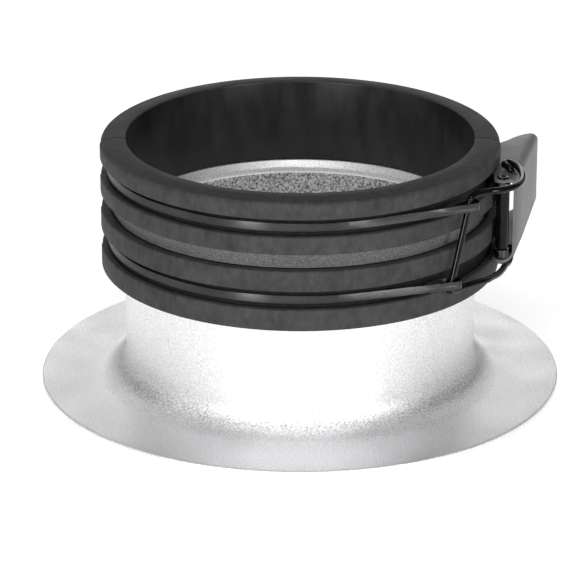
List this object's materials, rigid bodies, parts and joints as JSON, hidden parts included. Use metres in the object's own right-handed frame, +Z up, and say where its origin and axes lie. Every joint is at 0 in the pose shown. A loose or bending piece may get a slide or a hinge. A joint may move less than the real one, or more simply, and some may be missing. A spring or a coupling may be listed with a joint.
{
  "type": "studio flash mounting ring with rubber clamping collar",
  "caption": "Flanged aluminium tube with a ribbed rubber collar that steel bands and an over-centre lever squeeze onto a flash head.",
  "frame": {"origin": "centre of the flange's flat underside, on the tube's axis", "axes": "+Z up the tube's axis from the flange to the collar's mouth, -Y the front, +X the side of the latch"},
  "size_m": [0.1512, 0.1512, 0.0742],
  "materials": {
    "blasted_aluminium": "fine bead-blasted, silver, slightly sparkling grain",
    "collar_rubber": "moulded black rubber, matte outside, smoother and glossier in the bore",
    "band_steel": "flat spring steel, blackened, semi-gloss",
    "gloss_black_steel": "round steel wire and pin, glossy black plating",
    "lever_coating": "folded sheet steel, matte dark grey powder coat"
  },
  "bodies": {
    "ring": {"flange_tube": "blasted_aluminium", "collar_front": "collar_rubber", "collar_back": "collar_rubber", "upper_band": "band_steel", "lower_band": "band_steel", "hinge_pin": "gloss_black_steel", "hinge_sleeve": "gloss_black_steel"},
    "lever": {"lever": "lever_coating"},
    "bail": {"bail_wire": "gloss_black_steel"},
    "upper_tail": {"upper_band_end": "band_steel"},
    "lower_tail": {"lower_band_end": "band_steel"}
  },
  "joints": [
    {"name": "lever_hinge", "type": "hinge", "parent": "ring", "child": "lever", "pos_m": [0.0573, -0.0183, 0.055], "axis": [0, 0, -1], "range_deg": [0, 90]},
    {"name": "bail_pivot", "type": "hinge", "parent": "lever", "child": "bail", "pos_m": [0.0602, -0.0133, 0.055], "axis": [0, 0, 1], "range_deg": [0, 84]},
    {"name": "upper_band_flex", "type": "hinge", "parent": "ring", "child": "upper_tail", "pos_m": [0.01782, -0.05235, 0.066], "axis": [0, 0, -1], "range_deg": [0, 10.5]},
    {"name": "lower_band_flex", "type": "hinge", "parent": "ring", "child": "lower_tail", "pos_m": [0.01506, -0.05321, 0.0449], "axis": [0, 0, -1], "range_deg": [0, 10.5]}
  ],
  "couplings": [
    {"joint": "bail_pivot", "follows": "lever_hinge", "ratio": 0.9219},
    {"joint": "upper_band_flex", "follows": "lever_hinge", "ratio": 0.114},
    {"joint": "lower_band_flex", "follows": "lever_hinge", "ratio": 0.1137}
  ]
}
